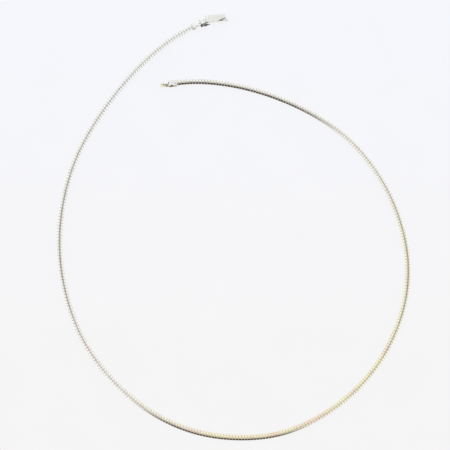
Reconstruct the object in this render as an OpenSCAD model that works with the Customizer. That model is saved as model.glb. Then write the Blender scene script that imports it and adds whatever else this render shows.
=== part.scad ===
// Round snake chain necklace, laid open in one loose loop on a flat surface.
// Its clasp is open: the box is on the outer end and the tongue on the inner end.
// Millimetres. The origin is on the surface, under the middle of the whole piece, and Z is up.

/* [Chain] */
// Outer diameter of the round snake chain
chain_d = 2; // [1.6:0.1:2]

/* [End caps] */
// Width of each end cap across its flat sides
cap_w = 2.7; // [2.7:0.05:2.8]
// Depth of the socket that holds the chain
cap_socket = 2.3; // [2:0.1:3]
// Thickness of the closed end of each cap
cap_end = 0.8; // [0.7:0.05:1]
// Radius of the caps' long edges
cap_round = 0.5; // [0.3:0.05:0.6]

/* [Clasp box] */
// Length of the box body along its longer side
box_l = 8.7; // [7.5:0.1:10]
// Width of the box
box_w = 2.8; // [2.6:0.1:3.2]
// Height of the box
box_h = 2.5; // [2.4:0.1:2.8]
// Thickness of its sheet
box_wall = 0.35; // [0.3:0.05:0.4]
// Radius of its long edges
box_round = 0.2; // [0.15:0.05:0.3]
// Slant of its mouth, in degrees
mouth_slant = 23; // [10:1:25]
// Length of the slot in its top
slot_l = 4; // [3.8:0.1:4.3]
// Width of the slot
slot_w = 0.45; // [0.35:0.05:0.5]
// Angle between the slot and the box, in degrees
slot_turn = 17; // [16:1:18]

/* [Tongue] */
// Length that stands out of the end cap
tongue_l = 3.2; // [2.5:0.1:4]
// Width of the strip
tongue_w = 1.2; // [1:0.1:1.6]
// Thickness of the strip
tongue_t = 0.3; // [0.2:0.05:0.35]
// Length of the end that is folded back
fold_l = 1.1; // [0.8:0.1:1.5]
// Outside radius of the fold
fold_r = 0.42; // [0.38:0.02:0.5]
// How far off the cap's middle the strip leaves it
tongue_side = 0.35; // [0:0.05:0.4]
// Angle between the strip and the cap, in degrees
tongue_turn = -7; // [-8:1:0]

/* [Hidden] */

// Guide points of the chain's centre line, as X, Y and the lift above its resting height.
// They run clockwise from beyond the tongue end to beyond the box end.
ROUTE = [
    [-43.5, 46.7, 1], [-24.6, 54.4, 0.4], [-7, 54.5, 0], [10, 51, 0],
    [26.5, 44.5, 0], [42, 35, 0], [54, 21.5, 0], [62, 6, 0],
    [66.5, -11.5, 0], [65.5, -29, 0], [59, -46, 0], [48.5, -60.5, 0],
    [34.5, -71.5, 0], [18.5, -79, 0], [1, -80.5, 0], [-16.5, -78, 0],
    [-33, -70, 0], [-46.5, -58.5, 0], [-57, -44.5, 0], [-63.5, -28, 0],
    [-66.5, -10.5, 0], [-65.5, 7, 0], [-61, 24.5, 0], [-52.5, 40, 0],
    [-42, 54.5, 0], [-30, 67, 0], [-15.4, 76.8, 0.4], [4.3, 83.6, 1]
];
spans = len(ROUTE) - 3;
chain_rings = 80;
chain_sides = 8;

// Clear gap between pieces that meet
fit_gap = 0.06;
// Room between the end of the chain and the closed end of a cap
floor_gap = 0.15;
chain_corner_r = chain_d / 2 / cos(180 / chain_sides);
cap_bore_r = chain_corner_r + fit_gap;

// Length of the strip inside its cap, short of the chain's end
tongue_root = cap_end - 0.05;

// The box end's stem carries the box.
stem_r = 0.6;
stem_l = 1.1;
// Middle of the back of the box on the surface, and the way that its mouth points
box_at = [-11.85, 78.18];
box_turn = 7.5;
socket_start = 0.6;
// Where the slot leaves the mouth, from the middle of the box towards its longer side
slot_side = 0.3;
slot_depth = box_wall + 0.05;
// The neck narrows from the cap to the back of the box, and its flank runs on along the longer side.
neck_plate = 0.3;
neck_r = 0.7;
neck_side = 0.6;
neck_z = 1.3;
flank_l = 1.5;
flank_r = 0.35;
flank_side = 1.75;
flank_z = 0.6;
smooth = 48;

// Smooth curve pulled by four guide points in a row
function curve(a, b, c, d, t) =
    (a * pow(1 - t, 3)
    + b * (3 * pow(t, 3) - 6 * pow(t, 2) + 4)
    + c * (-3 * pow(t, 3) + 3 * pow(t, 2) + 3 * t + 1)
    + d * pow(t, 3)) / 6;

// Point of the centre line, for u from 0 at the tongue end to spans at the box end
function route_point(u) =
    let (i = min(floor(u), spans - 1))
    curve(ROUTE[i], ROUTE[i + 1], ROUTE[i + 2], ROUTE[i + 3], u - i)
    + [0, 0, chain_d / 2];

function unit(v) = v / norm(v);

// Direction of the centre line, as the step between two near points
function route_direction(u) =
    let (step = 0.01)
    unit(route_point(min(u + step, spans)) - route_point(max(u - step, 0)));

// One ring of the chain, square to the centre line, with a flat underneath
function chain_ring(u) =
    let (
        along = route_direction(u),
        side = unit(cross([0, 0, 1], along)),
        up = cross(along, side)
    )
    [for (k = [0 : chain_sides - 1])
        let (a = 360 * (k + 0.5) / chain_sides)
        route_point(u) + chain_corner_r * (cos(a) * side + sin(a) * up)];

// Each end cap lies in line with the last length of the chain.
ring_step = spans / (chain_rings - 1);
tongue_end = route_point(0);
box_end = route_point(spans);
tongue_way = unit(tongue_end - route_point(ring_step));
box_way = unit(box_end - route_point(spans - ring_step));

// Puts its children at point p, with their X along way
module face_along(p, way) {
    translate(p)
        rotate([0, -asin(way[2]), atan2(way[1], way[0])])
            children();
}

// Rectangle with rounded corners about the origin
module rounded(w, h, r) {
    square([w - 2 * r, h], center = true);
    square([w, h - 2 * r], center = true);
    for (x = [r - w / 2, w / 2 - r], y = [r - h / 2, h / 2 - r])
        translate([x, y])
            circle(r = r, $fn = smooth);
}

// Bar along X, with its flat sides level and upright
module square_bar(length, width) {
    rotate([90, 0, 90])
        linear_extrude(length)
            rounded(width, width, cap_round);
}

// Round bar along X
module round_bar(length, r) {
    rotate([0, 90, 0])
        cylinder(r = r, h = length, $fn = smooth);
}

// Square cap along X with a round socket for the chain, whose end lies at X = 0
module end_cap() {
    difference() {
        translate([-cap_socket, 0, 0])
            square_bar(cap_socket + floor_gap + cap_end, cap_w);
        translate([-cap_socket - 1, 0, 0])
            round_bar(cap_socket + 1 + floor_gap, cap_bore_r);
    }
}

// Cross-section of the box, with its underside on Y = 0
module box_section() {
    translate([0, box_h / 2])
        rounded(box_w, box_h, box_round);
}

// Bar of that cross-section along X
module box_bar(length) {
    rotate([90, 0, 90])
        linear_extrude(length)
            box_section();
}

module in_box_frame() {
    translate([box_at[0], box_at[1], 0])
        rotate([0, 0, box_turn])
            children();
}

// Solid neck that leads from the square cap to the back of the box
module box_neck() {
    hull() {
        face_along(box_end + box_way * (cap_end + floor_gap + 2 * fit_gap), box_way)
            square_bar(neck_plate, cap_w - 2 * fit_gap);
        in_box_frame()
            translate([0, -neck_side, neck_z])
                round_bar(neck_plate, neck_r);
        in_box_frame()
            translate([flank_l, -flank_side, flank_z])
                sphere(r = flank_r, $fn = 24);
    }
}

// Room inside the box for the tongue, open at the mouth
module tongue_socket() {
    translate([socket_start, box_wall - box_w / 2, box_wall])
        cube([box_l, box_w - 2 * box_wall, box_h - 2 * box_wall]);
}

// Slanting slot through the top, open at the mouth
module thumb_slot() {
    mouth_x = box_l - box_w / 2 * tan(mouth_slant);
    translate([mouth_x + slot_side * tan(mouth_slant), -slot_side, box_h - slot_depth])
        rotate([0, 0, slot_turn])
            translate([-slot_l, -slot_w / 2, 0])
                cube([slot_l + box_w, slot_w, box_h]);
}

// What the slanted mouth takes off the front of the box
module mouth_cut() {
    translate([box_l, -box_w / 2, -box_h / 2])
        rotate([0, 0, mouth_slant])
            translate([0, -box_w, 0])
                cube([2 * box_w, 3 * box_w, 2 * box_h]);
}

// Folded strip seen from its side, lying along X with its root at X = 0
module tongue_profile() {
    straight = tongue_root + tongue_l - fold_r;
    inside_r = fold_r - tongue_t;
    square([straight, tongue_t]);
    translate([straight, fold_r])
        difference() {
            circle(r = fold_r, $fn = smooth);
            circle(r = max(inside_r, 0.04), $fn = smooth);
            translate([-2 * fold_r, -2 * fold_r])
                square([2 * fold_r, 4 * fold_r]);
        }
    translate([straight, 2 * fold_r - tongue_t])
        rotate(-6)
            translate([-fold_l, 0])
                square([fold_l + 0.02, tongue_t]);
}

module chain() {
    points = [for (i = [0 : chain_rings - 1])
        each chain_ring(i * ring_step)];
    last = (chain_rings - 1) * chain_sides;
    start_face = [for (k = [chain_sides - 1 : -1 : 0]) k];
    end_face = [for (k = [0 : chain_sides - 1]) last + k];
    walls = [for (i = [0 : chain_rings - 2], k = [0 : chain_sides - 1])
        let (
            a = i * chain_sides + k,
            b = i * chain_sides + (k + 1) % chain_sides
        )
        each [[a, b, b + chain_sides], [a, b + chain_sides, a + chain_sides]]];
    color("silver")
        polyhedron(points, concat([start_face], [end_face], walls));
}

// Puts its children where the strip leaves the closed end of the tongue's cap
module at_tongue() {
    closed_x = floor_gap + cap_end;
    translate([closed_x, tongue_side, 0])
        rotate([0, 0, tongue_turn])
            children();
}

module tongue_end_cap() {
    gap = fit_gap;
    color("gainsboro")
        face_along(tongue_end, tongue_way)
            difference() {
                end_cap();
                at_tongue()
                    translate([-2 * cap_end, -tongue_w / 2 - gap, -tongue_t / 2 - gap])
                        cube([3 * cap_end, tongue_w + 2 * gap, tongue_t + 2 * gap]);
            }
}

module tongue() {
    color("darkkhaki")
        face_along(tongue_end, tongue_way)
            at_tongue()
                translate([-tongue_root, tongue_w / 2, -tongue_t / 2])
                    rotate([90, 0, 0])
                        linear_extrude(tongue_w)
                            tongue_profile();
}

module box_end_cap() {
    color("gainsboro")
        face_along(box_end, box_way)
            union() {
                end_cap();
                translate([floor_gap, 0, 0])
                    round_bar(cap_end + stem_l, stem_r);
            }
}

module clasp_box() {
    color("gainsboro")
        difference() {
            union() {
                in_box_frame()
                    box_bar(box_l + box_w);
                box_neck();
            }
            in_box_frame()
                tongue_socket();
            in_box_frame()
                thumb_slot();
            in_box_frame()
                mouth_cut();
            face_along(box_end, box_way)
                translate([floor_gap, 0, 0])
                    round_bar(cap_end + stem_l + fit_gap, stem_r + fit_gap);
        }
}

chain();
tongue_end_cap();
tongue();
box_end_cap();
clasp_box();
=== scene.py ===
"""Looks of a round snake chain necklace, laid open in one loop, with its box clasp undone.

Lengths are metres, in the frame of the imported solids: the origin lies on the surface under the middle of the
piece, X points right and Y up in the picture, and Z is up.
"""

import math

import bmesh
import bpy
from bpy.props import FloatProperty, FloatVectorProperty, IntProperty, PointerProperty
from mathutils import Matrix, Vector


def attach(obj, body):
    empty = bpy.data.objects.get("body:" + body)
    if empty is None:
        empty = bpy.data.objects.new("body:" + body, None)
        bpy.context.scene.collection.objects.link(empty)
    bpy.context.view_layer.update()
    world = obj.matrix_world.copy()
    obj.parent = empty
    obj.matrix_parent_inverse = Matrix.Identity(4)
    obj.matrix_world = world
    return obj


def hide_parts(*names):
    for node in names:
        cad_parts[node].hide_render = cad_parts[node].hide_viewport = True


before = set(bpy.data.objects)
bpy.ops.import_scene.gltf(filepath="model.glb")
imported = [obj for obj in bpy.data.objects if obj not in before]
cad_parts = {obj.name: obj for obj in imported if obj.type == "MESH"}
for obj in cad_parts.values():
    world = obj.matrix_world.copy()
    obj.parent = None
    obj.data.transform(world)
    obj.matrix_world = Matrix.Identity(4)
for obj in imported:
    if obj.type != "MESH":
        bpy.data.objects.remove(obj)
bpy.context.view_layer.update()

bl_info = {
    "name": "Snake Chain Necklace",
    "version": (1, 0, 0),
    "blender": (4, 5, 0),
    "location": "3D View > Sidebar > Necklace",
    "description": "Builds a ribbed snake chain with its end caps and clasp, and a pale stage for it",
    "category": "Object",
}

MM = 0.001

# Guide points of the chain's centre line in millimetres, as X, Y and the lift above its resting height.
# They run clockwise from beyond the tongue end to beyond the box end, as those of the solids do.
ROUTE_MM = [
    (-43.5, 46.7, 1), (-24.6, 54.4, 0.4), (-7, 54.5, 0), (10, 51, 0),
    (26.5, 44.5, 0), (42, 35, 0), (54, 21.5, 0), (62, 6, 0),
    (66.5, -11.5, 0), (65.5, -29, 0), (59, -46, 0), (48.5, -60.5, 0),
    (34.5, -71.5, 0), (18.5, -79, 0), (1, -80.5, 0), (-16.5, -78, 0),
    (-33, -70, 0), (-46.5, -58.5, 0), (-57, -44.5, 0), (-63.5, -28, 0),
    (-66.5, -10.5, 0), (-65.5, 7, 0), (-61, 24.5, 0), (-52.5, 40, 0),
    (-42, 54.5, 0), (-30, 67, 0), (-15.4, 76.8, 0.4), (4.3, 83.6, 1),
]
SPANS = len(ROUTE_MM) - 3
CHAIN_RINGS = 80
FIT_GAP = 0.06 * MM
FLOOR_GAP = 0.15 * MM
BOX_AT = (-11.85 * MM, 78.18 * MM, 0)
CAP_SIDES = 48
EDGE_BEVEL = 0.035 * MM
TONGUE_BEVEL = 0.05 * MM
SHARP_ANGLE = math.radians(25)
BEVEL_ANGLE = math.radians(40)
STRIP_EDGE_ANGLE = math.radians(50)
FOLD_SPRING = math.radians(6)
TINY = 0.01 * MM
FLOOR_DROP = 0.01 * MM
# Lays what is made along Z along X
TO_X = Matrix.Rotation(math.pi / 2, 4, "Y")

# Patches of painted shade and painted reflection as (middle in millimetres, half sizes in millimetres, turn in
# degrees, strength, colour)
# Colours of painted marks: black shade and dark reflection, olive shade on the tongue, grey reflection and
# shade
SHADE_BLACK = (0.012, 0.009, 0.006)
SHADE_OLIVE = (0.12, 0.1, 0.03)
SHADE_GREY = (0.2, 0.2, 0.19)
# Painted shade and dark reflections at the box's neck and lower side, at a cap's mouth and on the tongue cap,
# with grey painted reflections on the caps' tops
CLASP_SHADE_PATCHES = [
    ((-13.15, 75.75, 1.5), (0.5, 0.44, 6), 14, 1, SHADE_BLACK),
    ((-11.55, 76.2, 1), (1.75, 0.27, 6), 14.5, 1, SHADE_BLACK),
    ((-11.95, 76.6, 2), (1.1, 0.18, 6), 25, 0.85, SHADE_BLACK),
    ((-12.5, 77.95, 2), (0.3, 0.25, 6), 0, 0.8, SHADE_GREY),
    ((-15.4, 75.2, 2.7), (0.5, 0.13, 6), 27, 0.6, SHADE_GREY),
    ((-14.35, 75.5, 2.7), (0.4, 0.13, 6), 27, 0.5, SHADE_GREY),
    ((-14, 76.25, 2.7), (0.3, 0.3, 6), 0, 0.5, SHADE_GREY),
    ((-16.45, 74.6, 2.7), (1.05, 0.14, 6), -53, 0.9, SHADE_BLACK),
    ((-24.55, 52.15, 2.5), (0.5, 0.32, 6), 3, 1, SHADE_BLACK),
    ((-25.6, 53.2, 2.5), (0.18, 0.62, 6), 12, 0.85, SHADE_BLACK),
    ((-22.95, 53.1, 2.7), (0.4, 0.2, 6), 10, 0.4, SHADE_GREY),
]
# Painted shade in the gap under the tongue's fold, and a painted darker reflection along the strip
TONGUE_SHADE_PATCHES = [
    ((-27.55, 52.75, 1.6), (0.3, 0.4, 1), 30, 0.9, SHADE_OLIVE),
    ((-26.45, 52.5, 1.6), (0.7, 0.75, 1), 0, 0.55, SHADE_OLIVE),
]

# Warmth of the chain's metal as (share of the way from the tongue end to the box end, strength)
GOLD_ALONG = [
    (0, 0.1),
    (0.18, 0.25),
    (0.29, 0.6),
    (0.4, 0.9),
    (0.53, 1),
    (0.6, 0.5),
    (0.64, 0.2),
    (0.72, 0.2),
    (0.84, 0.15),
    (0.9, 0),
    (1, 0),
]
# Gold all round the chain, and the painted reflection of warm light that is added on the side facing up into
# the loop
GOLD_BEHIND = 0.55
WARM_REFLECTION_SHARE = 0.45
# Facing over which the painted warm reflection comes in, and how far its side is raised from the inside of the
# loop
GOLD_EDGE = 0.9
GOLD_RISE = 0.8
# Where the gold turns from pale gold to lemon: the patches' values, and their change along X
LEMON_PATCHES = (0.42, 0.58)
LEMON_SPAN = (10 * MM, 50 * MM)
LEMON_SHIFT = (-0.05, 0.06)
DULL_ROUGHNESS = 0.8
# Values that a noise mostly takes, how far it moves the edge of a painted shade patch, and where that edge
# fades
NOISE_SPAN = (0.3, 0.7)
SHADE_RAGGED = (-0.35, 0.35)
SHADE_EDGE = (1.15, 0.55)
# Facing of the box's top, where its silver is darker, and the painted shade in a line at the foot of the rib:
# its half width as it fades in, and its strength
TOP_FACING = (0.85, 0.97)
RIB_LINE = (0.1 * MM, 0.03 * MM)
RIB_LINE_STRENGTH = 0.45

# Parts of the surround, by the bands of a direction's components over which each comes or goes
DARK_SOUTH = (0.39, 0.54)
DARK_SIDEWAYS = (0.35, 0.65)
DARK_HEIGHT = (-0.87, -0.67)
BAR_SOUTH = (0.09, 0.21)
BAR_SIDEWAYS = (0.45, 0.85)
BAR_HEIGHT = (0.3, 0.5)
WARM_WAY = (-0.75, 0.62, 0.1)
WARM_BAND = (0.2, 0.85)
# Cast of the floor at the near and at the far side of the picture, and where it changes
NEAR_CAST = (1, 0.99, 0.965)
FAR_CAST = (0.993, 1.003, 1.02)
CAST_SPAN = (-85 * MM, 90 * MM)
FIBRE_SHADE = 0.99


def length_property(name, description, millimetres):
    """Length that is set in millimetres."""
    return FloatProperty(name=name, description=description, default=millimetres * MM, unit="LENGTH")


def angle_property(name, description, degrees):
    """Angle that is set in degrees."""
    return FloatProperty(name=name, description=description, default=math.radians(degrees), subtype="ANGLE")


def colour_property(name, description, colour):
    """Colour that is set in shares of red, green and blue."""
    return FloatVectorProperty(
        name=name, description=description, default=colour, subtype="COLOR", min=0, max=1
    )


class ChainSizes(bpy.types.PropertyGroup):
    """Sizes of the snake chain and of its plates"""

    diameter: length_property("Diameter", "Outer diameter of the chain", 2)
    pitch: length_property("Pitch", "Distance from one plate to the next", 1.118)
    plate_gap: length_property("Plate gap", "Clear gap between two plates", 0.055)
    edge_depth: length_property("Edge depth", "How far a plate's edge lies below its crown", 0.08)
    crown: FloatProperty(
        name="Crown",
        description="Share of a plate's length that its crown takes",
        default=0.82,
        subtype="FACTOR",
    )
    wave: length_property("Wave", "How far a plate's edge swings along the chain", 0.09)
    sides: IntProperty(name="Sides", description="Flat sides round a plate", default=16)
    core_radius: length_property("Core radius", "Radius of the dark core between the plates", 0.8)
    core_sides: IntProperty(name="Core sides", description="Flat sides round the core", default=10)
    turns: FloatProperty(name="Turns", description="Turns that the chain twists from end to end", default=0.5)


class ClaspSizes(bpy.types.PropertyGroup):
    """Sizes of the end caps, the tongue and the clasp box"""

    cap_width: length_property("Cap width", "Width of an end cap across its flat sides", 2.7)
    cap_socket: length_property("Cap socket", "Depth of the socket that holds the chain", 2.3)
    cap_end: length_property("Cap end", "Thickness of the closed end of a cap", 0.8)
    cap_round: length_property("Cap rounding", "Radius of a cap's long edges", 0.5)
    cap_rim: length_property("Cap rim", "Radius of the rims at a cap's ends", 0.12)
    cap_bore: length_property("Cap bore", "Radius of the socket", 1.14)
    stem_radius: length_property("Stem radius", "Radius of the stem that carries the box", 0.6)
    stem_length: length_property("Stem length", "Length of that stem outside its cap", 1.1)
    box_length: length_property("Box length", "Length of the box along its longer side", 8.7)
    box_width: length_property("Box width", "Width of the box", 2.8)
    box_height: length_property("Box height", "Height of the box", 2.5)
    box_wall: length_property("Box wall", "Thickness of the box's sheet", 0.35)
    box_round: length_property("Box rounding", "Radius of the box's long edges", 0.2)
    box_turn: angle_property("Box turn", "Angle that the box lies at", 7.5)
    mouth_slant: angle_property("Mouth slant", "Slant of the box's mouth", 23)
    socket_start: length_property("Socket start", "Where the room inside the box begins", 0.6)
    slot_length: length_property("Slot length", "Length of the slot in the box's top", 4)
    slot_width: length_property("Slot width", "Width of the slot", 0.45)
    slot_turn: angle_property("Slot turn", "Angle between the slot and the box", 17)
    slot_side: length_property("Slot side", "How far off the middle the slot leaves the mouth", 0.3)
    slot_depth: length_property("Slot depth", "Depth of the slot", 0.4)
    rib_start: length_property("Rib start", "Where the low rib round the box begins", 0.4)
    rib_length: length_property("Rib length", "Length of the box that the rib takes", 0.8)
    rib_height: length_property("Rib height", "Height of the rib", 0.1)
    neck_plate: length_property("Neck plate", "Length of the straight ends of the neck", 0.3)
    neck_radius: length_property("Neck radius", "Radius of the neck at the back of the box", 0.7)
    neck_side: length_property("Neck side", "How far off the middle of the box the neck ends", 0.6)
    neck_height: length_property("Neck height", "Height of the neck's middle at the box", 1.3)
    flank_length: length_property("Flank length", "How far the neck's flank runs on beside the box", 1.5)
    flank_radius: length_property("Flank radius", "Radius of the flank's tip", 0.35)
    flank_side: length_property("Flank side", "How far off the middle of the box the flank's tip is", 1.75)
    flank_height: length_property("Flank height", "Height of the flank's tip", 0.6)
    tongue_length: length_property("Tongue length", "Length of the tongue outside its cap", 3.2)
    tongue_width: length_property("Tongue width", "Width of the strip", 1.2)
    tongue_thickness: length_property("Tongue thickness", "Thickness of the strip", 0.3)
    fold_length: length_property("Fold length", "Length of the leaf that is folded back", 1.1)
    fold_radius: length_property("Fold radius", "Outside radius of the fold", 0.42)
    tongue_root: length_property("Tongue root", "Length of the strip inside its cap", 0.75)
    tongue_side: length_property("Tongue side", "How far off the cap's middle the strip leaves it", 0.35)
    tongue_turn: angle_property("Tongue turn", "Angle between the strip and the cap", -7)


class FinishColours(bpy.types.PropertyGroup):
    """Colours of the metals"""

    silver: colour_property("Silver", "Polished silver of the chain", (0.935, 0.937, 0.922))
    # Pale gold also colours the warm reflection painted on the chain
    pale_gold: colour_property("Pale gold", "Pale gold of the chain and of its painted warm reflection", (0.93, 0.785, 0.62))
    lemon: colour_property("Lemon", "Greener patches of the gold", (0.935, 0.895, 0.62))
    groove: colour_property("Groove", "Tarnish in the grooves between the plates", (0.6, 0.57, 0.49))
    clasp: colour_property("Clasp", "Silver of the caps and the box", (0.93, 0.93, 0.91))
    # Darker silver where the box's top faces up
    box_top: colour_property("Box top", "Darker silver where the box's top faces up", (0.84, 0.85, 0.82))
    # Painted shade inside the box and in the lines beside its rib
    box_shade: colour_property("Lining", "Painted shade inside the box and beside its rib", (0.48, 0.47, 0.44))
    # Painted shade inside the caps' mouths
    recess_shade: colour_property("Dirt", "Painted shade inside the caps' mouths", (0.09, 0.08, 0.07))
    tongue: colour_property("Tongue", "Yellow metal of the tongue", (0.86, 0.83, 0.63))


class StageSettings(bpy.types.PropertyGroup):
    """Floor, light and camera"""

    floor_size: length_property("Floor size", "Side of the square floor", 4000)
    floor_colour: colour_property("Floor colour", "Colour of the floor", (0.9, 0.9, 0.93))
    floor_glow: FloatProperty(name="Floor glow", description="How brightly the floor is lit", default=0.943)
    white_light: colour_property("White light", "Most of the surround", (1, 1, 1))
    warm_light: colour_property("Warm light", "Surround at the far left", (1, 0.995, 0.985))
    dark_light: colour_property("Dark side", "Surround at the front", (0.075, 0.045, 0.028))
    bar_light: colour_property("Overhead bar", "Dim bar across the ceiling", (0.33, 0.34, 0.3))
    backdrop: colour_property("Backdrop", "What the camera sees past the floor", (0.92, 0.92, 0.95))
    dark_side: angle_property("Dark side", "How far to the left of the front the dark side lies", 2)
    focal_length: FloatProperty(name="Focal length", description="Lens in millimetres", default=61.12)
    camera_place: FloatVectorProperty(
        name="Camera place",
        description="Place of the lens",
        default=(-20.82 * MM, -17.37 * MM, 289.02 * MM),
        subtype="TRANSLATION",
    )
    camera_turn: FloatVectorProperty(
        name="Camera turn",
        description="Turn of the lens from straight down",
        default=(0.0585, -0.0578, 0),
        subtype="EULER",
    )


def route_point(u):
    """Point of the centre line, for u from 0 at the tongue end to SPANS at the box end."""
    i = min(int(u), SPANS - 1)
    t = u - i
    a, b, c, d = (Vector(point) for point in ROUTE_MM[i : i + 4])
    point = (
        a * (1 - t) ** 3
        + b * (3 * t**3 - 6 * t**2 + 4)
        + c * (-3 * t**3 + 3 * t**2 + 3 * t + 1)
        + d * t**3
    ) / 6
    return point * MM + Vector((0, 0, bpy.context.scene.chain_sizes.diameter / 2))


def even_route(pitch):
    """Places along the centre line, one pitch apart, from the tongue end to the box end."""
    steps_per_span = 200
    fine = steps_per_span * SPANS
    points = [route_point(SPANS * k / fine) for k in range(fine + 1)]
    lengths = [0.0]
    for a, b in zip(points, points[1:]):
        lengths.append(lengths[-1] + (b - a).length)
    count = int(lengths[-1] / pitch)
    start = (lengths[-1] - count * pitch) / 2
    places = []
    k = 0
    for n in range(count):
        wanted = start + (n + 0.5) * pitch
        while lengths[k + 1] < wanted:
            k += 1
        share = (wanted - lengths[k]) / (lengths[k + 1] - lengths[k])
        way = (points[k + 1] - points[k]).normalized()
        places.append((points[k].lerp(points[k + 1], share), way, wanted / lengths[-1]))
    return places


def along(point, way):
    """Matrix that puts a piece's origin at point and its X along way, with its Y level."""
    side = Vector((0, 0, 1)).cross(way).normalized()
    up = way.cross(side)
    turn = Matrix((way, side, up)).transposed().to_4x4()
    return Matrix.Translation(point) @ turn


def cap_frames():
    """Frames of the tongue end and of the box end, with X pointing out of the chain."""
    step = SPANS / (CHAIN_RINGS - 1)
    tongue_end = route_point(0)
    box_end = route_point(SPANS)
    tongue_way = (tongue_end - route_point(step)).normalized()
    box_way = (box_end - route_point(SPANS - step)).normalized()
    return along(tongue_end, tongue_way), along(box_end, box_way)


def finish_piece(bm, name, node, material, flat_faces=True):
    """Makes the piece from its bmesh, shades it, hangs it on the root and hides the solid that it replaces."""
    mesh = bpy.data.meshes.new(name)
    bm.to_mesh(mesh)
    bm.free()
    mesh.materials.append(material)
    mesh.shade_smooth()
    mesh.set_sharp_from_angle(angle=SHARP_ANGLE)
    piece = bpy.data.objects.new(name, mesh)
    bpy.context.scene.collection.objects.link(piece)
    if flat_faces:
        piece.modifiers.new("flat faces", "WEIGHTED_NORMAL").keep_sharp = True
    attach(piece, "root")
    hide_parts(node)


def new_group(name, inputs, outputs):
    """Node group with inputs as (name, kind, default) and outputs as (name, kind), and what comes into it."""
    tree = bpy.data.node_groups.new(name, "ShaderNodeTree")
    for socket_name, kind, default in inputs:
        socket = tree.interface.new_socket(name=socket_name, in_out="INPUT", socket_type=f"NodeSocket{kind}")
        if default is not None:
            socket.default_value = default
    for socket_name, kind in outputs:
        tree.interface.new_socket(name=socket_name, in_out="OUTPUT", socket_type=f"NodeSocket{kind}")
    return tree, tree.nodes.new("NodeGroupInput").outputs


def fill(tree, socket, value):
    """Fills a node's input with another node's output, a colour or a plain value."""
    if isinstance(value, bpy.types.NodeSocket):
        tree.links.new(value, socket)
    elif socket.type == "RGBA":
        socket.default_value = (*value[:3], 1)
    else:
        socket.default_value = value


def node(tree, kind, inputs=(), **settings):
    """Adds a node, sets its properties and fills its inputs."""
    made = tree.nodes.new(kind)
    for key, value in settings.items():
        setattr(made, key, value)
    for key, value in dict(inputs).items():
        fill(tree, made.inputs[key], value)
    return made


def map_range(tree, value, from_range, to_range, smooth=False):
    """Output that carries value from one range to another, clamped."""
    ends = {
        "Value": value,
        "From Min": from_range[0],
        "From Max": from_range[1],
        "To Min": to_range[0],
        "To Max": to_range[1],
    }
    kind = "SMOOTHSTEP" if smooth else "LINEAR"
    return node(tree, "ShaderNodeMapRange", ends, interpolation_type=kind).outputs["Result"]


def mix_colours(tree, factor, first, second, blend_type="MIX"):
    """Output that mixes two colours, each a value or another node's output."""
    made = node(tree, "ShaderNodeMix", {"Factor": factor}, data_type="RGBA", blend_type=blend_type)
    for socket, colour in zip((s for s in made.inputs if s.type == "RGBA"), (first, second)):
        fill(tree, socket, colour)
    return next(s for s in made.outputs if s.type == "RGBA")


def math_node(tree, operation, first, second=0.0):
    """Output of a Math node."""
    return node(tree, "ShaderNodeMath", {0: first, 1: second}, operation=operation).outputs[0]


def vector_math(tree, operation, first, second=(0, 0, 0), output="Vector"):
    """Output of a Vector Math node."""
    inputs = {0: first, 1: second}
    return node(tree, "ShaderNodeVectorMath", inputs, operation=operation).outputs[output]


def noise(tree, place, scale, detail):
    """Output of a noise texture."""
    inputs = {"Vector": place, "Scale": scale, "Detail": detail}
    return node(tree, "ShaderNodeTexNoise", inputs).outputs["Fac"]


def object_place(tree):
    """Output of the place on the object."""
    return node(tree, "ShaderNodeTexCoord").outputs["Object"]


def component(tree, vector, axis):
    """Output of one component of a vector."""
    return node(tree, "ShaderNodeSeparateXYZ", {0: vector}).outputs[axis]


def attribute(tree, name):
    """Output of a value that the mesh carries."""
    return node(tree, "ShaderNodeAttribute", attribute_name=name).outputs["Fac"]


def handling_wear_group(name):
    """Node group of the smudges and fine scratches that handling leaves on polished metal."""
    inputs = (
        ("Colour", "Color", (0.9, 0.9, 0.9, 1)),
        ("Smudge scale", "Float", 900),
        ("Roughness low", "Float", 0.1),
        ("Roughness high", "Float", 0.25),
        ("Scratch depth", "Float", 0.002 * MM),
    )
    outputs = (("Colour", "Color"), ("Roughness", "Float"), ("Normal", "Vector"))
    tree, source = new_group(name, inputs, outputs)
    place = object_place(tree)
    smudge = noise(tree, place, scale=source["Smudge scale"], detail=4)
    roughness = map_range(tree, smudge, (0.35, 0.7), (source["Roughness low"], source["Roughness high"]))
    dulling = map_range(tree, smudge, (0.4, 0.8), (1, 0.92))
    colour = mix_colours(tree, 1, source["Colour"], dulling, "MULTIPLY")
    lengthwise = {"Vector": place, "Rotation": (0.3, 0.2, 0.7), "Scale": (9, 0.6, 3)}
    stretched = node(tree, "ShaderNodeMapping", lengthwise).outputs["Vector"]
    relief = {
        "Height": noise(tree, stretched, scale=2600, detail=2),
        "Distance": source["Scratch depth"],
        "Strength": 1,
    }
    normal = node(tree, "ShaderNodeBump", relief).outputs["Normal"]
    node(tree, "NodeGroupOutput", {"Colour": colour, "Roughness": roughness, "Normal": normal})
    return tree


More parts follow.
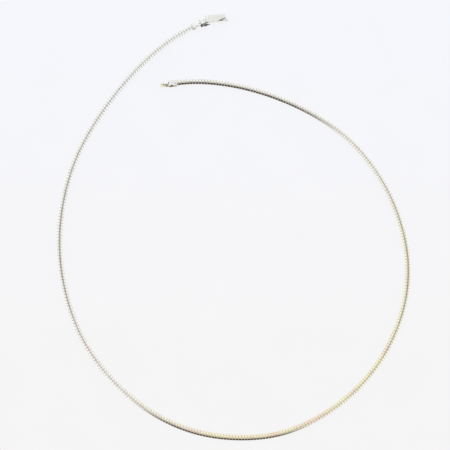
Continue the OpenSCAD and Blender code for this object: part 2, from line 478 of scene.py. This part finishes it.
def groove_darkening_group(name):
    """Node group that darkens a metal in its grooves: tarnish where it stays on the chain when the rest is
    rubbed bright, and painted shade in the recesses of the caps and the box.
    """
    inputs = (
        ("Metal", "Color", (0.9, 0.9, 0.9, 1)),
        ("Darkening colour", "Color", (0.4, 0.35, 0.3, 1)),
        ("Groove", "Float", 0),
        ("Reach", "Float", 0.5),
    )
    tree, source = new_group(name, inputs, (("Colour", "Color"), ("Mask", "Float")))
    patches = noise(tree, object_place(tree), scale=420, detail=3)
    uneven = math_node(tree, "MULTIPLY", source["Groove"], map_range(tree, patches, NOISE_SPAN, (0.75, 1)))
    rest = math_node(tree, "SUBTRACT", 1, source["Reach"])
    mask = map_range(tree, uneven, (rest, 1), (0, 1), smooth=True)
    colour = mix_colours(tree, mask, source["Metal"], source["Darkening colour"])
    node(tree, "NodeGroupOutput", {"Colour": colour, "Mask": mask})
    return tree


def painted_shade_group(name):
    """Node group that darkens a metal inside one ragged oval, as painted shade and painted reflection, and
    dulls it there.
    """
    inputs = (
        ("Metal", "Color", (0.9, 0.9, 0.9, 1)),
        ("Mask", "Float", 0),
        ("Shade colour", "Color", (0.05, 0.04, 0.03, 1)),
        ("Centre", "Vector", None),
        ("Size", "Vector", None),
        ("Turn", "Float", 0),
        ("Strength", "Float", 1),
    )
    tree, source = new_group(name, inputs, (("Colour", "Color"), ("Mask", "Float")))
    place = object_place(tree)
    turned = {"Vector": vector_math(tree, "SUBTRACT", place, source["Centre"]), "Angle": source["Turn"]}
    turned = node(tree, "ShaderNodeVectorRotate", turned, rotation_type="Z_AXIS", invert=True)
    scaled = vector_math(tree, "DIVIDE", turned.outputs["Vector"], source["Size"])
    ragged = map_range(tree, noise(tree, place, scale=2400, detail=4), NOISE_SPAN, SHADE_RAGGED)
    reach = math_node(tree, "ADD", vector_math(tree, "LENGTH", scaled, output="Value"), ragged)
    inside = map_range(tree, reach, SHADE_EDGE, (0, 1), smooth=True)
    mask = math_node(tree, "MULTIPLY", inside, source["Strength"])
    colour = mix_colours(tree, mask, source["Metal"], source["Shade colour"])
    dull = math_node(tree, "MAXIMUM", mask, source["Mask"])
    node(tree, "NodeGroupOutput", {"Colour": colour, "Mask": dull})
    return tree


def grouped(tree, name, make, inputs):
    """Outputs of the node group of that name, which is made on its first use."""
    group = bpy.data.node_groups.get(name) or make(name)
    return node(tree, "ShaderNodeGroup", inputs, node_tree=group).outputs


def darkened_in_grooves(tree, metal, darkening, reach):
    """Outputs of a metal darkened in its grooves, by tarnish on the chain and by painted shade on the clasp:
    its colour, and the mask of the darkening.
    """
    inputs = {"Metal": metal, "Darkening colour": darkening, "Groove": attribute(tree, "groove"), "Reach": reach}
    return grouped(tree, "Groove darkening", groove_darkening_group, inputs)


def with_painted_shade(tree, colour, mask, shade_patches):
    """Outputs of a colour and of a mask of its dull parts, with patches of painted shade and reflection given
    as in the lists above.
    """
    for centre, size, turn, strength, shade_colour in shade_patches:
        inputs = {
            "Metal": colour,
            "Mask": mask,
            "Shade colour": shade_colour,
            "Centre": [value * MM for value in centre],
            "Size": [value * MM for value in size],
            "Turn": math.radians(turn),
            "Strength": strength,
        }
        outputs = grouped(tree, "Painted shade patch", painted_shade_group, inputs)
        colour = outputs["Colour"]
        mask = outputs["Mask"]
    return colour, mask


def show(tree, inputs):
    """Adds the material's shader and leads it to the surface."""
    shader = node(tree, "ShaderNodeBsdfPrincipled", inputs).outputs["BSDF"]
    node(tree, "ShaderNodeOutputMaterial", {"Surface": shader})


def metal_shader(tree, colour, dull, smudge_scale, roughness, scratch_depth):
    """Adds wear and the metal's shader after a colour and a mask of its dull parts."""
    inputs = {
        "Colour": colour,
        "Smudge scale": smudge_scale,
        "Roughness low": roughness[0],
        "Roughness high": roughness[1],
        "Scratch depth": scratch_depth,
    }
    wear = grouped(tree, "Handling wear", handling_wear_group, inputs)
    shader = {
        "Base Color": wear["Colour"],
        "Metallic": map_range(tree, dull, (0, 1), (1, 0)),
        "Roughness": map_range(tree, dull, (0, 1), (wear["Roughness"], DULL_ROUGHNESS)),
        "Specular IOR Level": 0.1,
        "Normal": wear["Normal"],
    }
    show(tree, shader)


def chain_metal(tree):
    """Polished silver with pale gold, more of it where a warm reflection is painted on the side facing into
    the loop, and tarnish between its plates.
    """
    colours = bpy.context.scene.finish_colours
    place = object_place(tree)
    shift = map_range(tree, component(tree, place, "X"), LEMON_SPAN, LEMON_SHIFT, smooth=True)
    patches = math_node(tree, "ADD", noise(tree, place, scale=130, detail=2), shift)
    lemon = map_range(tree, patches, LEMON_PATCHES, (0, 1))
    warm = mix_colours(tree, lemon, colours.pale_gold, colours.lemon)
    metal = mix_colours(tree, attribute(tree, "gold_and_warm_reflection"), colours.silver, warm)
    darkening = darkened_in_grooves(tree, metal, colours.groove, reach=1)
    colour = darkening["Colour"]
    dull = darkening["Mask"]
    metal_shader(tree, colour, dull, smudge_scale=700, roughness=(0.13, 0.24), scratch_depth=0.0012 * MM)


def rubbed_silver(tree, metal, recess_shade):
    """Silver of the caps and the box, rubbed to a soft shine, with painted shade in its recesses and patches
    of painted shade and reflection beside its joints.
    """
    darkening = darkened_in_grooves(tree, metal, recess_shade, reach=0.5)
    colour, dull = with_painted_shade(tree, darkening["Colour"], attribute(tree, "groove"), CLASP_SHADE_PATCHES)
    metal_shader(tree, colour, dull, smudge_scale=520, roughness=(0.16, 0.3), scratch_depth=0.002 * MM)


def cap_metal(tree):
    """Silver of the caps."""
    colours = bpy.context.scene.finish_colours
    rubbed_silver(tree, colours.clasp, colours.recess_shade)


def box_metal(tree):
    """Silver of the box: darker where its top faces up, except on the rib, with painted shade in a line at
    each side of the rib and inside the box.
    """
    colours = bpy.context.scene.finish_colours
    sizes = bpy.context.scene.clasp_sizes
    coordinates = node(tree, "ShaderNodeTexCoord").outputs
    local = {"Vector": coordinates["Object"], "Location": BOX_AT, "Rotation": (0, 0, sizes.box_turn)}
    local = node(tree, "ShaderNodeMapping", local, vector_type="TEXTURE").outputs["Vector"]
    x = component(tree, local, "X")
    z = component(tree, coordinates["Normal"], "Z")
    half = sizes.rib_length / 2
    rib_edge = (half * 0.9, half * 1.1)
    off_rib = math_node(tree, "ABSOLUTE", math_node(tree, "SUBTRACT", x, sizes.rib_start + half))
    beside = map_range(tree, off_rib, rib_edge, (0, 1), smooth=True)
    top = math_node(tree, "MULTIPLY", map_range(tree, z, TOP_FACING, (0, 1)), beside)
    # Painted shade in a line at the foot of the rib, at each side
    off_line = math_node(tree, "ABSOLUTE", math_node(tree, "SUBTRACT", off_rib, rib_edge[1]))
    line = map_range(tree, off_line, RIB_LINE, (0, RIB_LINE_STRENGTH), smooth=True)
    colour = mix_colours(tree, top, colours.clasp, colours.box_top)
    rubbed_silver(tree, mix_colours(tree, line, colour, colours.box_shade), colours.box_shade)


def tongue_metal(tree):
    """Yellow spring metal of the tongue, with painted shade under its fold and a painted darker reflection
    along the strip to its cap.
    """
    colour, dull = with_painted_shade(tree, bpy.context.scene.finish_colours.tongue, 0, TONGUE_SHADE_PATCHES)
    metal_shader(tree, colour, dull, smudge_scale=1100, roughness=(0.2, 0.36), scratch_depth=0.003 * MM)


def one_material(name, make):
    """The material of that name, whose nodes are made on its first use."""
    material = bpy.data.materials.get(name)
    if material is None:
        material = bpy.data.materials.new(name)
        material.use_nodes = True
        material.node_tree.nodes.clear()
        make(material.node_tree)
    return material


def lathe(bm, outline, steps):
    """Turns an outline of (X, radius) points round the X axis into a closed shell."""
    verts = [bm.verts.new((x, 0, radius)) for x, radius in outline]
    edges = [bm.edges.new(pair) for pair in zip(verts, verts[1:])]
    bmesh.ops.spin(
        bm,
        geom=verts + edges,
        cent=(0, 0, 0),
        axis=(1, 0, 0),
        angle=2 * math.pi,
        steps=steps,
        use_merge=True,
    )
    bmesh.ops.remove_doubles(bm, verts=bm.verts[:], dist=0.001 * MM)
    bmesh.ops.holes_fill(bm, edges=bm.edges[:], sides=0)
    bmesh.ops.recalc_face_normals(bm, faces=bm.faces[:])


def round_off(bm, geom, offset, segments=2, affect="EDGES"):
    """Rounds those edges or corners."""
    bmesh.ops.bevel(
        bm,
        geom=geom,
        offset=offset,
        offset_type="OFFSET",
        affect=affect,
        segments=segments,
        profile=0.5,
        material=-1,
        clamp_overlap=True,
    )


def plate_mesh(sizes):
    """One plate of the chain along X: a low barrel whose edges swing to and fro, closed at both ends."""
    crown_radius = sizes.diameter / 2
    edge_radius = crown_radius - sizes.edge_depth
    half = (sizes.pitch - sizes.plate_gap) / 2
    flat = half * sizes.crown
    bm = bmesh.new()
    outline = [(-half, edge_radius), (-flat, crown_radius), (flat, crown_radius), (half, edge_radius)]
    lathe(bm, outline, sizes.sides)
    groove = bm.verts.layers.float.new("groove")
    bm.verts.layers.float.new("gold_and_warm_reflection")
    for vert in bm.verts:
        vert[groove] = 1.0 if abs(vert.co.x) > (half + flat) / 2 else 0.0
        vert.co.x += sizes.wave * math.cos(2 * math.atan2(vert.co.y, vert.co.z))
    mesh = bpy.data.meshes.new("plate")
    bm.to_mesh(mesh)
    bm.free()
    return mesh


def smooth_step(low, high, value):
    """Rises smoothly from 0 at low to 1 at high."""
    t = min(max((value - low) / (high - low), 0), 1)
    return t * t * (3 - 2 * t)


def gold_strength(share):
    """How warm the metal is, by the share of the way from the tongue end to the box end."""
    for (start, low), (end, high) in zip(GOLD_ALONG, GOLD_ALONG[1:]):
        if start <= share <= end:
            return low + (high - low) * smooth_step(start, end, share)
    return GOLD_ALONG[-1][1]


def extrude_face(bm, face):
    """Draws a face out where it is, with no wall left inside, and gives the new face."""
    inner = any(len(edge.link_faces) > 1 for edge in face.edges)
    made = bmesh.ops.extrude_face_region(bm, geom=[face])["geom"]
    if inner:
        bmesh.ops.delete(bm, geom=[face], context="FACES_ONLY")
    return next(g for g in made if isinstance(g, bmesh.types.BMFace))


def add_core(bm, sizes, places):
    """Bar inside the plates from the first place to the last, so that no light falls through between them."""
    start = bmesh.ops.create_circle(
        bm, cap_ends=True, radius=sizes.core_radius, segments=sizes.core_sides, matrix=places[0] @ TO_X
    )
    face = start["verts"][0].link_faces[0]
    for before, after in zip(places, places[1:]):
        face = extrude_face(bm, face)
        bmesh.ops.transform(bm, matrix=after @ before.inverted(), verts=list(face.verts))
    bmesh.ops.recalc_face_normals(bm, faces=bm.faces[:])


class NECKLACE_OT_snake_chain(bpy.types.Operator):
    """Lays the ribbed snake chain along its route"""

    bl_idname = "necklace.snake_chain"
    bl_label = "Snake chain"

    def execute(self, context):
        sizes = context.scene.chain_sizes
        plate = plate_mesh(sizes)
        per_plate = len(plate.vertices)
        route = even_route(sizes.pitch)
        bm = bmesh.new()
        groove = bm.verts.layers.float.new("groove")
        bm.verts.layers.float.new("gold_and_warm_reflection")
        add_core(bm, sizes, [along(point, way) for point, way, share in route])
        for vert in bm.verts:
            vert[groove] = 1.0
        for point, way, share in route:
            place = along(point, way) @ Matrix.Rotation(2 * math.pi * sizes.turns * share, 4, "X")
            bm.from_mesh(plate)
            bm.verts.ensure_lookup_table()
            gold = bm.verts.layers.float["gold_and_warm_reflection"]
            verts = bm.verts[-per_plate:]
            bmesh.ops.transform(bm, matrix=place, verts=verts)
            # The side facing up into the loop gets a painted reflection of warm light on top of its gold
            inward = Vector((0, 0, 1)).cross(way).normalized() * -1
            reflection_way = (inward + Vector((0, 0, GOLD_RISE))).normalized()
            for vert in verts:
                facing = (vert.co - point).normalized().dot(reflection_way)
                side = GOLD_BEHIND + WARM_REFLECTION_SHARE * smooth_step(-GOLD_EDGE, GOLD_EDGE, facing)
                vert[gold] = gold_strength(share) * side
        bpy.data.meshes.remove(plate)
        material = one_material("Chain silver", chain_metal)
        finish_piece(bm, "snake_chain", "chain", material, flat_faces=False)
        return {"FINISHED"}


def rounded_section(bm, width, height, rounding, segments):
    """Face across X with rounded corners, about the X axis."""
    half = Vector((0, width / 2, height / 2))
    corners = ((-1, -1), (1, -1), (1, 1), (-1, 1))
    face = bm.faces.new([bm.verts.new((0, half.y * y, half.z * z)) for y, z in corners])
    round_off(bm, list(face.verts), rounding, segments, affect="VERTICES")
    bm.faces.ensure_lookup_table()
    return bm.faces[0]


def pull(bm, face, x):
    """Draws a face across X out to x, and gives the face at the new end."""
    face = extrude_face(bm, face)
    for vert in face.verts:
        vert.co.x = x
    return face


def round_bar(radius, start, end, matrix):
    """Round bar along X from start to end."""
    bm = bmesh.new()
    bmesh.ops.create_cone(
        bm,
        cap_ends=True,
        segments=CAP_SIDES,
        radius1=radius,
        radius2=radius,
        depth=end - start,
        matrix=matrix @ Matrix.Translation(((start + end) / 2, 0, 0)) @ TO_X,
    )
    return bm


def cap_body(sizes):
    """Square bar along X with rounded edges and rims, as long as a cap."""
    bm = bmesh.new()
    low = -sizes.cap_socket
    high = sizes.cap_end + FLOOR_GAP
    face = rounded_section(bm, sizes.cap_width, sizes.cap_width, sizes.cap_round, segments=6)
    for vert in face.verts:
        vert.co.x = low
    pull(bm, face, high)
    bmesh.ops.recalc_face_normals(bm, faces=bm.faces[:])
    rims = [e for e in bm.edges if abs(e.verts[0].co.x - e.verts[1].co.x) < TINY]
    round_off(bm, rims, sizes.cap_rim, segments=3)
    return bm


class NECKLACE_OT_end_caps(bpy.types.Operator):
    """Makes the two square caps on the ends of the chain"""

    bl_idname = "necklace.end_caps"
    bl_label = "End caps"

    def execute(self, context):
        sizes = context.scene.clasp_sizes
        tongue_frame, box_end_frame = cap_frames()
        mouth = -sizes.cap_socket - sizes.cap_width
        slot_width = sizes.tongue_width + 2 * FIT_GAP
        slot_size = (3 * sizes.cap_end, slot_width, sizes.tongue_thickness + 2 * FIT_GAP)
        slot = block_bmesh(slot_size, at_tongue(sizes) @ Matrix.Translation((-sizes.cap_end / 2, 0, 0)))
        stem_tip = FLOOR_GAP + sizes.cap_end + sizes.stem_length
        stem = round_bar(sizes.stem_radius, FLOOR_GAP + sizes.cap_end / 2, stem_tip, Matrix())
        caps = (
            ("tongue_cap", "tongue_end_cap", tongue_frame, ("DIFFERENCE", slot)),
            ("box_cap", "box_end_cap", box_end_frame, ("UNION", stem)),
        )
        bore_floor = FLOOR_GAP * 1.01
        bore_wall = sizes.cap_bore * 1.02
        for name, node_name, place, fitting in caps:
            bore = round_bar(sizes.cap_bore, mouth, FLOOR_GAP, Matrix())
            cap = combine(cap_body(sizes), [("DIFFERENCE", bore), fitting])
            # The bore is marked for painted shade inside the cap's mouth
            groove = cap.verts.layers.float.new("groove")
            for vert in cap.verts:
                in_bore = vert.co.x < bore_floor and vert.co.yz.length < bore_wall
                vert[groove] = 1.0 if in_bore else 0.0
            bmesh.ops.transform(cap, matrix=place, verts=cap.verts[:])
            material = one_material("Clasp silver", cap_metal)
            finish_piece(cap, name, node_name, material)
        return {"FINISHED"}


def at_tongue(sizes):
    """Place in the tongue cap's frame where the strip leaves its closed end."""
    closed_end = Matrix.Translation((FLOOR_GAP + sizes.cap_end, sizes.tongue_side, 0))
    return closed_end @ Matrix.Rotation(sizes.tongue_turn, 4, "Z")


def block_bmesh(size, matrix):
    """Plain block."""
    bm = bmesh.new()
    bmesh.ops.create_cube(bm, size=1, matrix=matrix @ Matrix.Diagonal((*size, 1)))
    return bm


def combine(bm, shapes):
    """Joins and cuts shapes, given as (operation, bmesh) pairs, and rounds the sharp edges."""

    def temporary(source):
        mesh = bpy.data.meshes.new("temporary")
        source.to_mesh(mesh)
        source.free()
        thing = bpy.data.objects.new("temporary", mesh)
        bpy.context.scene.collection.objects.link(thing)
        return thing

    work = temporary(bm)
    tools = []
    for operation, shape in shapes:
        modifier = work.modifiers.new(operation, "BOOLEAN")
        modifier.operation = operation
        modifier.solver = "EXACT"
        modifier.object = temporary(shape)
        tools.append(modifier.object)
    rounding = work.modifiers.new("rounding", "BEVEL")
    rounding.width = EDGE_BEVEL
    rounding.segments = 2
    rounding.limit_method = "ANGLE"
    rounding.angle_limit = BEVEL_ANGLE
    bpy.context.view_layer.update()
    result = bmesh.new()
    evaluated = work.evaluated_get(bpy.context.evaluated_depsgraph_get())
    result.from_mesh(evaluated.to_mesh())
    evaluated.to_mesh_clear()
    for thing in (work, *tools):
        mesh = thing.data
        bpy.data.objects.remove(thing)
        bpy.data.meshes.remove(mesh)
    return result


class NECKLACE_OT_tongue(bpy.types.Operator):
    """Makes the folded spring strip of the clasp"""

    bl_idname = "necklace.tongue"
    bl_label = "Tongue"

    def execute(self, context):
        sizes = context.scene.clasp_sizes
        root_x = -sizes.tongue_root
        fold_x = sizes.tongue_length - sizes.fold_radius
        middle_radius = sizes.fold_radius - sizes.tongue_thickness / 2
        bm = bmesh.new()
        ends = [bm.verts.new((root_x, side * sizes.tongue_width / 2, 0)) for side in (-1, 1)]
        edge = bm.edges.new(ends)

        def run(edge, step):
            made = bmesh.ops.extrude_edge_only(bm, edges=[edge])["geom"]
            bmesh.ops.translate(bm, vec=step, verts=[g for g in made if isinstance(g, bmesh.types.BMVert)])
            return next(g for g in made if isinstance(g, bmesh.types.BMEdge))

        edge = run(edge, (fold_x - root_x, 0, 0))
        turned = bmesh.ops.spin(
            bm,
            geom=[edge, *edge.verts],
            cent=(fold_x, 0, middle_radius),
            axis=(0, -1, 0),
            angle=math.pi - FOLD_SPRING,
            steps=8,
        )["geom_last"]
        edge = next(g for g in turned if isinstance(g, bmesh.types.BMEdge))
        leaf = sizes.fold_length
        run(edge, (-leaf * math.cos(FOLD_SPRING), 0, leaf * math.sin(FOLD_SPRING)))
        bmesh.ops.recalc_face_normals(bm, faces=bm.faces[:])
        bmesh.ops.solidify(bm, geom=bm.faces[:], thickness=sizes.tongue_thickness)
        middle = sizes.tongue_thickness / 2
        lowest = min(v.co.z for v in bm.verts)
        bmesh.ops.translate(bm, vec=(0, 0, -middle - lowest), verts=bm.verts[:])
        bmesh.ops.recalc_face_normals(bm, faces=bm.faces[:])
        sharp = [e for e in bm.edges if e.calc_face_angle(0) > STRIP_EDGE_ANGLE]
        round_off(bm, sharp, TONGUE_BEVEL)
        bmesh.ops.transform(bm, matrix=cap_frames()[0] @ at_tongue(sizes), verts=bm.verts[:])
        material = one_material("Tongue gold", tongue_metal)
        finish_piece(bm, "folded_tongue", "tongue", material)
        return {"FINISHED"}


def box_frame(sizes):
    """Frame of the clasp box: X runs from the middle of its back to its mouth, along its underside."""
    return Matrix.Translation(BOX_AT) @ Matrix.Rotation(sizes.box_turn, 4, "Z")


def box_body(sizes):
    """Bar with rounded long edges along X, a slanted front and a low rib round it near its back."""
    half = sizes.box_width / 2
    height = sizes.box_height
    bm = bmesh.new()
    front = rounded_section(bm, sizes.box_width, height, sizes.box_round, segments=4)
    bmesh.ops.translate(bm, vec=(0, 0, height / 2), verts=list(front.verts))
    rib_steps = 6
    rib_middle = sizes.rib_start + sizes.rib_length / 2
    stations = []
    for k in range(rib_steps + 1):
        turn = math.pi * k / rib_steps
        stations.append((rib_middle - sizes.rib_length / 2 * math.cos(turn), math.sin(turn)))
    stations.append((sizes.box_length, 0))
    swell_now = 0
    for x, swell in stations:
        front = pull(bm, front, x)
        for vert in front.verts:
            vert.co.y *= (half + sizes.rib_height * swell) / (half + sizes.rib_height * swell_now)
            vert.co.z *= (height + sizes.rib_height * swell) / (height + sizes.rib_height * swell_now)
        swell_now = swell
    for vert in front.verts:
        vert.co.x -= (vert.co.y + half) * math.tan(sizes.mouth_slant)
    bmesh.ops.recalc_face_normals(bm, faces=bm.faces[:])
    return bm


def box_neck(sizes):
    """Neck from the cap's closed end to the back of the box, with a flank along the box's longer side."""
    place = box_frame(sizes)
    plate = sizes.neck_plate
    cap_face = sizes.cap_end + FLOOR_GAP + 2 * FIT_GAP
    width = sizes.cap_width - 2 * FIT_GAP
    points = bmesh.new()
    pull(points, rounded_section(points, width, width, sizes.cap_round, segments=8), plate)
    cap_side = cap_frames()[1] @ Matrix.Translation((cap_face, 0, 0))
    bmesh.ops.transform(points, matrix=cap_side, verts=points.verts[:])
    box_side = place @ Matrix.Translation((plate / 2, -sizes.neck_side, sizes.neck_height))
    bmesh.ops.create_cone(
        points,
        segments=CAP_SIDES,
        radius1=sizes.neck_radius,
        radius2=sizes.neck_radius,
        depth=plate,
        matrix=box_side @ TO_X,
    )
    tip = place @ Matrix.Translation((sizes.flank_length, -sizes.flank_side, sizes.flank_height))
    bmesh.ops.create_uvsphere(points, u_segments=24, v_segments=12, radius=sizes.flank_radius, matrix=tip)
    bm = bmesh.new()
    for vert in points.verts:
        bm.verts.new(vert.co)
    points.free()
    bmesh.ops.convex_hull(bm, input=bm.verts[:])
    bmesh.ops.delete(bm, geom=[v for v in bm.verts if not v.link_faces], context="VERTS")
    bmesh.ops.recalc_face_normals(bm, faces=bm.faces[:])
    return bm


class NECKLACE_OT_clasp_box(bpy.types.Operator):
    """Makes the sheet-metal box of the clasp with its slot, socket and neck"""

    bl_idname = "necklace.clasp_box"
    bl_label = "Clasp box"

    def execute(self, context):
        sizes = context.scene.clasp_sizes
        place = box_frame(sizes)
        body = box_body(sizes)
        bmesh.ops.transform(body, matrix=place, verts=body.verts[:])
        wall = sizes.box_wall
        socket = block_bmesh(
            (2 * sizes.box_length, sizes.box_width - 2 * wall, sizes.box_height - 2 * wall),
            place @ Matrix.Translation((sizes.socket_start + sizes.box_length, 0, sizes.box_height / 2)),
        )
        mouth_x = sizes.box_length - (sizes.box_width / 2 - sizes.slot_side) * math.tan(sizes.mouth_slant)
        reach = sizes.slot_length + sizes.box_width
        slot = block_bmesh(
            (reach, sizes.slot_width, 2 * sizes.slot_depth),
            place
            @ Matrix.Translation((mouth_x, -sizes.slot_side, sizes.box_height))
            @ Matrix.Rotation(sizes.slot_turn, 4, "Z")
            @ Matrix.Translation((reach / 2 - sizes.slot_length, 0, 0)),
        )
        stem_tip = FLOOR_GAP + sizes.cap_end + sizes.stem_length + FIT_GAP
        stem_hole = round_bar(sizes.stem_radius + FIT_GAP, FLOOR_GAP, stem_tip, cap_frames()[1])
        shapes = [("UNION", box_neck(sizes)), ("DIFFERENCE", socket), ("DIFFERENCE", slot)]
        box = combine(body, shapes + [("DIFFERENCE", stem_hole)])
        # The room inside the box is marked for painted shade
        groove = box.verts.layers.float.new("groove")
        to_box = place.inverted()
        for vert in box.verts:
            x, y, z = to_box @ vert.co
            across = abs(y) < sizes.box_width / 2 - wall + TINY
            level = abs(z - sizes.box_height / 2) < sizes.box_height / 2 - wall + TINY
            vert[groove] = 1.0 if x > sizes.socket_start - TINY and across and level else 0.0
        material = one_material("Box silver", box_metal)
        finish_piece(box, "clasp_box_dressed", "clasp_box", material)
        return {"FINISHED"}


def kept_where(tree, part, value, band, change):
    """Output of a part of the surround, which comes or goes over a band of a value."""
    return math_node(tree, "MULTIPLY", part, map_range(tree, value, band, change, smooth=True))


def studio_world():
    """White surround with one dark brown side and a dim bar overhead. The camera sees a plain pale one."""
    settings = bpy.context.scene.stage_settings
    world = bpy.data.worlds.new("Studio")
    world.use_nodes = True
    bpy.context.scene.world = world
    tree = world.node_tree
    tree.nodes.clear()
    way = node(tree, "ShaderNodeTexCoord").outputs["Generated"]
    height = component(tree, way, "Z")
    turn = settings.dark_side
    south = vector_math(tree, "DOT_PRODUCT", way, (-math.sin(turn), -math.cos(turn), 0), "Value")
    sideways = vector_math(tree, "DOT_PRODUCT", way, (math.cos(turn), -math.sin(turn), 0), "Value")
    sideways = math_node(tree, "ABSOLUTE", sideways)
    off_south = math_node(tree, "DIVIDE", sideways, math_node(tree, "MAXIMUM", south, 0.01))
    comes = (0, 1)
    goes = (1, 0)
    dark = map_range(tree, south, DARK_SOUTH, comes, smooth=True)
    dark = kept_where(tree, dark, off_south, DARK_SIDEWAYS, goes)
    dark = kept_where(tree, dark, height, DARK_HEIGHT, comes)
    warm = vector_math(tree, "DOT_PRODUCT", way, Vector(WARM_WAY).normalized(), "Value")
    warm = map_range(tree, warm, WARM_BAND, comes, smooth=True)
    overhead = map_range(tree, math_node(tree, "ABSOLUTE", south), BAR_SOUTH, goes, smooth=True)
    overhead = kept_where(tree, overhead, sideways, BAR_SIDEWAYS, goes)
    overhead = kept_where(tree, overhead, height, BAR_HEIGHT, comes)
    colour = mix_colours(tree, overhead, settings.white_light, settings.bar_light)
    colour = mix_colours(tree, warm, colour, settings.warm_light)
    colour = mix_colours(tree, dark, colour, settings.dark_light)
    seen = node(tree, "ShaderNodeLightPath").outputs["Is Camera Ray"]
    colour = mix_colours(tree, seen, colour, settings.backdrop)
    background = node(tree, "ShaderNodeBackground", {"Color": colour}).outputs["Background"]
    node(tree, "ShaderNodeOutputWorld", {"Surface": background})


def pale_paper(tree):
    """Pale matt paper, so brightly lit that the shade beside the chain is faint."""
    settings = bpy.context.scene.stage_settings
    colour = settings.floor_colour
    place = object_place(tree)
    fibre = map_range(tree, noise(tree, place, scale=60, detail=5), NOISE_SPAN, (0, 1))
    tinted = mix_colours(tree, fibre, colour, [c * FIBRE_SHADE for c in colour])
    cast = map_range(tree, component(tree, place, "Y"), CAST_SPAN, (0, 1), smooth=True)
    cast = mix_colours(tree, cast, NEAR_CAST, FAR_CAST)
    shader = {
        "Base Color": (0.1, 0.1, 0.1),
        "Roughness": 0.95,
        "Specular IOR Level": 0,
        "Emission Color": mix_colours(tree, 1, tinted, cast, "MULTIPLY"),
        "Emission Strength": settings.floor_glow,
    }
    show(tree, shader)


class NECKLACE_OT_stage(bpy.types.Operator):
    """Sets the pale floor, the soft light and the camera"""

    bl_idname = "necklace.stage"
    bl_label = "Stage"

    def execute(self, context):
        scene = context.scene
        settings = scene.stage_settings
        bm = bmesh.new()
        below = Matrix.Translation((0, 0, -FLOOR_DROP))
        bmesh.ops.create_grid(bm, x_segments=1, y_segments=1, size=settings.floor_size / 2, matrix=below)
        mesh = bpy.data.meshes.new("floor")
        bm.to_mesh(mesh)
        bm.free()
        mesh.materials.append(one_material("Pale floor", pale_paper))
        floor = bpy.data.objects.new("floor", mesh)
        scene.collection.objects.link(floor)
        floor.visible_glossy = False
        studio_world()

        lens = bpy.data.cameras.new("camera")
        lens.lens = settings.focal_length
        lens.sensor_width = 36
        lens.clip_start = 10 * MM
        camera = bpy.data.objects.new("camera", lens)
        camera.location = settings.camera_place
        camera.rotation_euler = settings.camera_turn
        scene.collection.objects.link(camera)
        scene.camera = camera
        scene.view_settings.view_transform = "Standard"
        scene.view_settings.look = "None"
        return {"FINISHED"}


OPERATORS = (
    NECKLACE_OT_snake_chain,
    NECKLACE_OT_end_caps,
    NECKLACE_OT_tongue,
    NECKLACE_OT_clasp_box,
    NECKLACE_OT_stage,
)


class NECKLACE_PT_sidebar(bpy.types.Panel):
    """Lists the pieces of the necklace in the sidebar"""

    bl_idname = "NECKLACE_PT_sidebar"
    bl_label = "Snake chain necklace"
    bl_space_type = "VIEW_3D"
    bl_region_type = "UI"
    bl_category = "Necklace"

    def draw(self, context):
        for operator in OPERATORS:
            self.layout.operator(operator.bl_idname)


PROPERTY_GROUPS = {
    "chain_sizes": ChainSizes,
    "clasp_sizes": ClaspSizes,
    "finish_colours": FinishColours,
    "stage_settings": StageSettings,
}


def register():
    """Registers the sizes, the operators and the panel."""
    for name, group in PROPERTY_GROUPS.items():
        bpy.utils.register_class(group)
        setattr(bpy.types.Scene, name, PointerProperty(type=group))
    for cls in (*OPERATORS, NECKLACE_PT_sidebar):
        bpy.utils.register_class(cls)


def unregister():
    """Takes them off again."""
    for cls in (NECKLACE_PT_sidebar, *reversed(OPERATORS)):
        bpy.utils.unregister_class(cls)
    for name, group in PROPERTY_GROUPS.items():
        delattr(bpy.types.Scene, name)
        bpy.utils.unregister_class(group)


def main():
    """Builds every piece and the stage."""
    register()
    bpy.ops.necklace.stage()
    bpy.ops.necklace.snake_chain()
    bpy.ops.necklace.end_caps()
    bpy.ops.necklace.tongue()
    bpy.ops.necklace.clasp_box()


if __name__ == "__main__":
    main()
